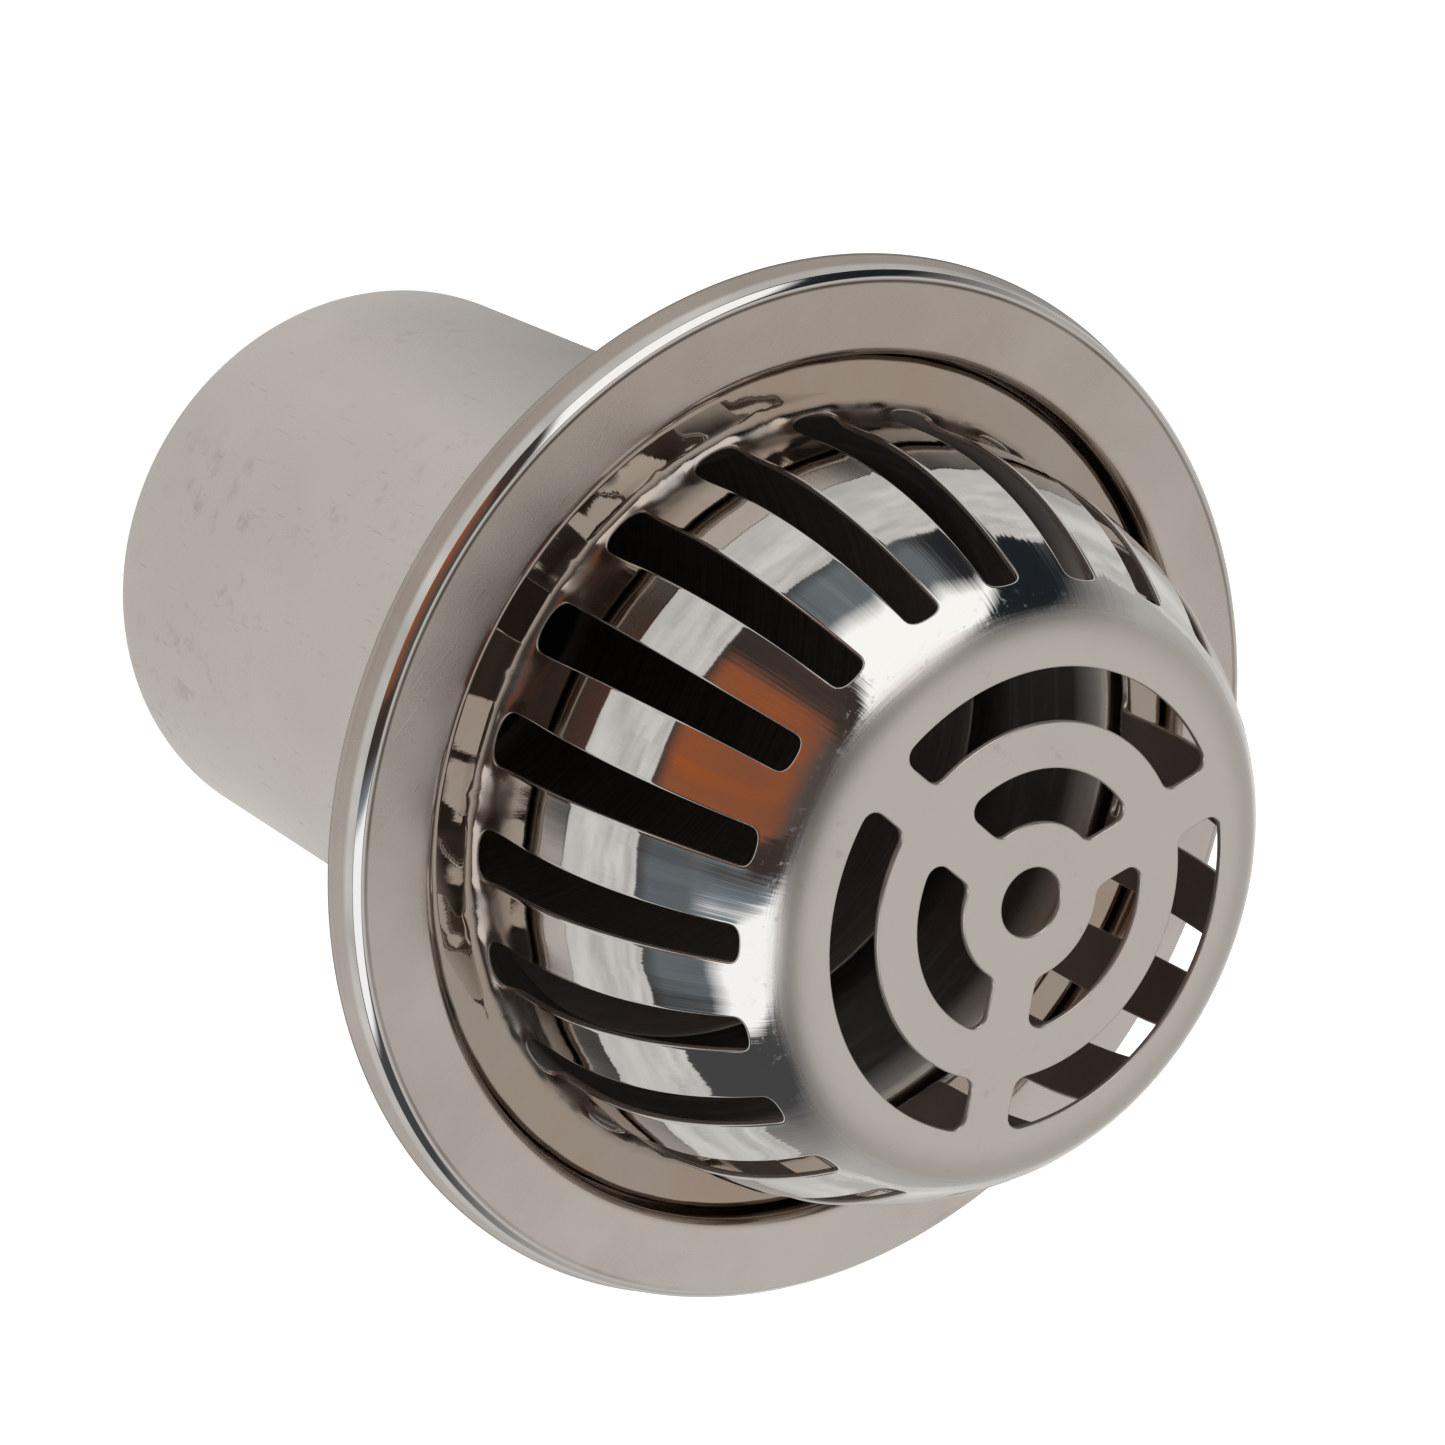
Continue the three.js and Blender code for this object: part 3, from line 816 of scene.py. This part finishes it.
def flange_line(k, strainer):
    """The flange's visible line from the lip's foot over the edge, the face, the recess and the bowl to the
    collar. The bowl is the straight line that touches the throat's edge and the bend above the collar."""
    edge = k.sheet + k.edge_bend
    recess = k.lip_radius - k.rim_width
    corner = k.recess_corner
    seat = FACE - k.recess_depth
    joint = FACE - k.joint_depth
    barrel = recess - strainer.clearance - strainer.skirt_width
    collar = k.outlet_radius - k.sheet
    lean = math.degrees(math.atan2(k.lip_flare, k.lip_depth - edge))
    top = np.array([barrel + k.throat_edge, seat - k.throat_edge])
    bottom = np.array([collar + k.bowl_bend, joint + k.collar])
    between = top - bottom
    turn = math.asin((k.bowl_bend - k.throat_edge) / np.linalg.norm(between))
    slant = math.degrees(math.atan2(between[0], between[1]) + turn)
    return np.concatenate([
        [[k.lip_radius + k.lip_flare, FACE - k.lip_depth]],
        polished_edge(k.lip_radius - edge, FACE - edge, edge, lean),
        arc(recess + edge, FACE - edge, edge, 90, 180, 13),
        arc(recess - corner, seat + corner, corner, 0, -90, 9),
        arc(*top, k.throat_edge, 90, 180 - slant, 13),
        arc(*bottom, k.bowl_bend, 180 - slant, 180, 9),
        [[collar, joint + k.joint_gap / 2]],
    ])


class DRAIN_OT_flange_body(bpy.types.Operator):
    """Make the flange body: lip, flat face, recess, seat and bowl, drawn from one sheet"""

    bl_idname = "drain.flange_body"
    bl_label = "Flange body"

    def execute(self, context):
        k = context.scene.drain_body
        line = evened(flange_line(k, context.scene.drain_strainer), 1.2 * MM)
        points, faces = turned(rolled_sheet(line, k.sheet, k.lip_round), 360)
        steel = flange_finish(context.scene.drain_colours, k)
        mesh_piece("flange_body_skin", points, faces, "drain_body", steel, "flange_body")
        return {"FINISHED"}


class DRAIN_OT_outlet_pipe(bpy.types.Operator):
    """Make the outlet pipe: a straight tube with its open end rolled in"""

    bl_idname = "drain.outlet_pipe"
    bl_label = "Outlet pipe"

    def execute(self, context):
        k = context.scene.drain_body
        roll = (k.end_roll**2 + k.end_roll_height**2) / (2 * k.end_roll)
        sweep = math.degrees(math.asin(k.end_roll_height / roll))
        line = np.concatenate([
            arc(k.outlet_radius - roll, k.end_roll_height, roll, -sweep, 0, 13),
            [[k.outlet_radius, FACE - k.joint_depth - k.joint_gap / 2]],
        ])
        points, faces = turned(rolled_sheet(evened(line, 2.5 * MM), k.sheet, k.pipe_round), 300)
        steel = pipe_finish(context.scene.drain_colours, k)
        mesh_piece("outlet_pipe_skin", points, faces, "drain_body", steel, "outlet_pipe")
        return {"FINISHED"}


def bead_ripple(k, base, middle, count):
    """Height of the weld's ripples: crescents that lag with the distance from the bead's middle. With off
    from -1 to 1 across the bead it is bead_ripple sqrt(1 - off^2) |sin(count t / 2 + 1.1 off^2)|^0.7, in
    front only."""

    def ripple(t, section):
        off = (section[:, 1] - middle) / k.bead_half_height
        front = section[:, 0] > base + 0.02 * MM
        rise = np.sqrt(np.clip(1 - off**2, 0, 1)) * front
        return k.bead_ripple * rise * np.abs(np.sin(count / 2 * t + 1.1 * off**2)) ** 0.7

    return ripple


class DRAIN_OT_weld_bead(bpy.types.Operator):
    """Make the rippled weld bead that joins the bowl to the pipe"""

    bl_idname = "drain.weld_bead"
    bl_label = "Weld bead"

    def execute(self, context):
        k = context.scene.drain_body
        base = k.outlet_radius + k.joint_gap
        middle = FACE - k.joint_depth
        a = np.linspace(-math.pi / 2, math.pi / 2, 13)
        back = np.linspace(1, -1, 7)[1:-1]
        front = np.stack([base + k.bead_rise * np.cos(a), middle + k.bead_half_height * np.sin(a), 0 * a], 1)
        rear = np.stack([np.full_like(back, base), middle + k.bead_half_height * back, np.ones_like(back)], 1)
        count = round(2 * math.pi * base / k.bead_pitch)
        ripple = bead_ripple(k, base, middle, count)
        points, faces = turned(np.concatenate([front, rear]), count * 8, ripple)
        steel = weld_finish(context.scene.drain_colours)
        mesh_piece("weld_bead_skin", points, faces, "drain_body", steel, "weld_bead")
        return {"FINISHED"}


class DRAIN_OT_strainer(bpy.types.Operator):
    """Make the dome strainer: one pressed sheet with slots round its side and windows in its top"""

    bl_idname = "drain.strainer"
    bl_label = "Dome strainer"

    def execute(self, context):
        body = context.scene.drain_body
        sheet = DomeSheet(context.scene.drain_strainer, body.lip_radius - body.rim_width)
        points, faces = dome_mesh(sheet)
        steel = dome_finish(context.scene.drain_colours, sheet)
        mesh_piece("strainer_dome_skin", points, faces, "strainer", steel, "strainer_dome")
        return {"FINISHED"}


# ---------------------------------------------------------------- stage


def toward(azimuth, elevation):
    """Unit vector of a direction given in degrees."""
    az, el = math.radians(azimuth), math.radians(elevation)
    return Vector((math.cos(el) * math.cos(az), math.cos(el) * math.sin(az), math.sin(el)))


class Room(Graph):
    """The studio round the drain, as a colour for every direction: a light far wall, a dim room behind the
    viewer with a warm panel in it, and a tall window to either side. Angles are in degrees; the bearing is
    0 in front of the drain and grows anticlockwise, and the height is 0 at the horizon."""

    FRONT = -81.0

    def __init__(self, name):
        self.world = bpy.data.worlds.new(name)
        self.world.use_nodes = True
        super().__init__(self.world.node_tree)
        self.place = self.node("ShaderNodeTexCoord", {}, {}, output="Generated")
        ahead, aside = (self.along(toward(self.FRONT + turn, 0)) for turn in (0, 90))
        self.bearing = aside.maths("ARCTAN2", ahead) * math.degrees(1)
        self.height = self.along((0, 0, 1)).maths("ARCSINE") * math.degrees(1)
        self.colour = (0.0, 0.0, 0.0)

    def along(self, direction):
        """The cosine of the angle to a direction."""
        sockets = {0: self.place, 1: direction}
        return self.node("ShaderNodeVectorMath", {"operation": "DOT_PRODUCT"}, sockets, output="Value")

    def streaks(self, across, up):
        """A pattern drawn out by different amounts across and up."""
        return self.noise(1.0, 3.0, 0.5, self.together(self.bearing * across, self.height * up, 0.0))

    def patch(self, bearings, heights, soft):
        """1 inside a stretch of bearings and heights, 0 outside, with soft edges."""
        (left, right), (low, high) = bearings, heights
        from_left, past_right = (self.bearing.ramp(side - soft, side + soft) for side in (left, right))
        from_low, past_high = (self.height.ramp(side - soft, side + soft) for side in (low, high))
        return from_left * (1 - past_right) * from_low * (1 - past_high)

    def cover(self, share, tint):
        """Lays a colour over what is there, where the share is 1."""
        self.colour = self.mix(share, self.colour, tint)

    def finish(self):
        self.tree.links.new(self.colour.socket, self.tree.nodes["Background"].inputs["Color"])
        return self.world


def studio_room():
    """The room, laid down from what is far to what is near."""
    room = Room("studio room")
    streak = room.streaks(0.35, 0.02)
    cloud = room.streaks(0.05, 0.05)
    grain = room.streaks(0.16, 0.03)
    sill = 0.5 + streak.ramp(0.3, 0.7) * 0.5
    # The dim room, a warmer stretch in front, and the dark corners beside the windows.
    room.cover(1.0, (0.050, 0.040, 0.036))
    room.cover(room.patch((-30, 40), (-12, 58), 6) * streak.ramp(0.35, 0.75), (0.10, 0.065, 0.05))
    room.cover(room.patch((78, 112), (-30, 50), 6), (0.085, 0.085, 0.088))
    room.cover(room.patch((-112, -78), (-30, 46), 5), (0.018, 0.024, 0.030))
    # The ceiling, the light far wall, and the light that hangs over it.
    room.cover(room.height.ramp(54, 70) * (0.6 + cloud), (0.13, 0.12, 0.115))
    room.cover(abs(room.bearing).ramp(104, 128), (0.62, 0.60, 0.575))
    room.cover(room.along(toward(99, 58)).ramp(0.70, 0.93), (0.82, 0.79, 0.76))
    # The panel in front: dim above, orange below.
    orange = room.patch((-20, 20), (-11, 70), 2.0) * (1 - room.height.ramp(20, 46))
    room.cover(room.patch((-20, 20), (-11, 60), 2.0), (0.12, 0.098, 0.088))
    room.cover(orange * (0.45 + grain.ramp(0.3, 0.7) * 0.55), (0.46, 0.125, 0.038))
    # The two windows over their bluish sills, and the frame beside one of them.
    room.cover(room.patch((33, 70), (-12, 6), 2.5) * sill, (0.20, 0.235, 0.26))
    room.cover(room.patch((-76, -38), (-12, 5), 2.5) * sill, (0.25, 0.29, 0.31))
    room.cover(room.patch((36, 44), (4, 44), 3.5), (0.25, 0.30, 0.34))
    room.cover(room.patch((43, 80), (4, 61), 2.5), (1.45, 1.44, 1.44))
    room.cover(room.patch((-84, -36), (3, 62), 2.5), (1.5, 1.48, 1.44))
    return room.finish()


def matt(surface, tint):
    """Makes a Principled surface matt, with no highlight."""
    surface.inputs["Base Color"].default_value = (*tint, 1.0)
    surface.inputs["Roughness"].default_value = 0.9
    surface.inputs["Specular IOR Level"].default_value = 0.0


def plain_surface(name, tint, glow):
    """A matt surface that also gives off a little light of its own, which keeps shadows faint."""
    material = bpy.data.materials.new(name)
    material.use_nodes = True
    surface = material.node_tree.nodes["Principled BSDF"]
    matt(surface, tint)
    surface.inputs["Emission Color"].default_value = (1.0, 0.985, 0.97, 1.0)
    surface.inputs["Emission Strength"].default_value = glow
    return material


def table_surface(front):
    """The table seen in the metal, a surface that gives off light of its own: bright far off, and in front of
    the drain; dimmer close by and behind it, as painted shade."""
    f = Finish("table seen in the metal", metallic=0.0)
    ahead = (f.x * front[0] + f.y * front[1]) / f.radius
    # painted shade: the glow is dimmer close to the drain and behind it
    near = 0.36 + ahead.ramp(-0.75, 0.35) * 0.40
    cloud = f.marks(9.0, 3.0, 0.6)
    far = f.radius.ramp(0.20, 0.34)
    glow = near * (1 - far) + far * (0.62 + cloud.ramp(0.35, 0.65) * 0.3)
    matt(f.shader, (0.02, 0.02, 0.02))
    f.shader.inputs["Emission Strength"].default_value = 1.0
    return f.feed(Emission_Color=f.mix(glow, (0.0, 0.0, 0.0), (1.0, 0.965, 0.925)))


def stage_piece(name, section, material, seen_by_camera, seen_in_metal):
    """A round piece of the studio, turned from an open section, seen only by what it is meant for."""
    steps = 128
    t = np.linspace(0, 2 * math.pi, steps, endpoint=False)
    r, z = section[:, 0], section[:, 1]
    heights = np.broadcast_to(z, (steps, len(z)))
    points = np.stack([r * np.cos(t)[:, None], r * np.sin(t)[:, None], heights], -1)
    faces = grid_faces(steps, len(z), close_rows=True)[:, ::-1]
    mesh = bpy.data.meshes.new(name)
    mesh.from_pydata(points.reshape(-1, 3).tolist(), [], faces.tolist())
    mesh.materials.append(material)
    piece = bpy.data.objects.new(name, mesh)
    bpy.context.scene.collection.objects.link(piece)
    piece.visible_camera = seen_by_camera
    piece.visible_glossy = seen_in_metal
    piece.visible_diffuse = seen_in_metal
    piece.visible_shadow = False


def level_section(inner, outer, height):
    """A level line from one radius to another, in nine points."""
    r = np.linspace(inner, outer, 9)
    return np.stack([r, np.full_like(r, height)], 1)


STUDIO_RADIUS = 14.0
TABLE_RADIUS = 0.8
EYE = (0.0649, -0.4062, 0.6361)
EYE_RIGHT = (-0.5648, 0.6142, 0.5511)
EYE_AHEAD = (-0.138, 0.588, -0.797)
FOCAL_LENGTH = 104.24
LENS_SHIFT = (-0.0028, -0.1273)


def studio_camera():
    """A camera at EYE that looks along EYE_AHEAD, rolled so that EYE_RIGHT is level in the picture."""
    lens = bpy.data.cameras.new("camera")
    lens.sensor_width = 36.0
    lens.lens = FOCAL_LENGTH
    lens.shift_x, lens.shift_y = LENS_SHIFT
    lens.clip_end = 50.0
    camera = bpy.data.objects.new("camera", lens)
    right, ahead = Vector(EYE_RIGHT).normalized(), Vector(EYE_AHEAD).normalized()
    turn = Matrix((right, right.cross(ahead), -ahead)).transposed()
    camera.matrix_world = Matrix.Translation(EYE) @ turn.to_4x4()
    return camera


class DRAIN_OT_stage(bpy.types.Operator):
    """Make the pale floor, the studio that the metal mirrors, and the camera"""

    bl_idname = "drain.stage"
    bl_label = "Stage"

    def execute(self, context):
        scene = context.scene
        pipe = scene.drain_body.outlet_radius - 2 * scene.drain_body.sheet
        floor = plain_surface("pale studio floor", scene.drain_colours.floor, 0.76)
        backdrop = plain_surface("white backdrop", (0, 0, 0), 0.97)
        table = table_surface(toward(Room.FRONT + 25, 0))
        # painted shade: the floor inside the pipe is nearly black instead of pale
        shade = plain_surface("floor inside the pipe", (0.03, 0.026, 0.024), 0.0)
        stage_piece("studio_floor", level_section(pipe, STUDIO_RADIUS, 0.0), floor, True, False)
        stage_piece("backdrop", arc(0.0, 0.0, STUDIO_RADIUS, 0, 88, 24), backdrop, True, False)
        stage_piece("table", level_section(pipe, TABLE_RADIUS, -0.4 * MM), table, False, True)
        stage_piece("pipe_floor", level_section(0.2 * MM, pipe + 0.4 * MM, -0.2 * MM), shade, True, True)
        scene.world = studio_room()
        scene.view_settings.view_transform = "Standard"
        scene.view_settings.look = "None"
        scene.camera = studio_camera()
        scene.collection.objects.link(scene.camera)
        return {"FINISHED"}


# ---------------------------------------------------------------- add-on

GROUPS = {"drain_body": DrainBodySizes, "drain_strainer": StrainerSizes, "drain_colours": DrainColours}
MAKERS = (DRAIN_OT_flange_body, DRAIN_OT_outlet_pipe, DRAIN_OT_weld_bead, DRAIN_OT_strainer, DRAIN_OT_stage)


class DRAIN_PT_panel(bpy.types.Panel):
    """Sizes and colours in the sidebar, with a button for each piece and for the stage"""

    bl_idname = "DRAIN_PT_panel"
    bl_label = "Roof drain"
    bl_space_type = "VIEW_3D"
    bl_region_type = "UI"
    bl_category = "Drain"

    def draw(self, context):
        layout = self.layout
        for title, group in zip(("Body", "Strainer", "Colours"), GROUPS):
            box = layout.box()
            box.label(text=title)
            values = getattr(context.scene, group)
            for key in values.bl_rna.properties.keys():
                if key not in {"rna_type", "name"}:
                    box.prop(values, key)
        for maker in MAKERS:
            layout.operator(maker.bl_idname)


def register():
    for kind in (*GROUPS.values(), *MAKERS, DRAIN_PT_panel):
        bpy.utils.register_class(kind)
    for name, kind in GROUPS.items():
        setattr(bpy.types.Scene, name, PointerProperty(type=kind))


def unregister():
    for name in GROUPS:
        delattr(bpy.types.Scene, name)
    for kind in reversed((*GROUPS.values(), *MAKERS, DRAIN_PT_panel)):
        bpy.utils.unregister_class(kind)


def main():
    register()
    bpy.ops.drain.flange_body()
    bpy.ops.drain.outlet_pipe()
    bpy.ops.drain.weld_bead()
    bpy.ops.drain.strainer()
    bpy.ops.drain.stage()


if __name__ == "__main__":
    main()
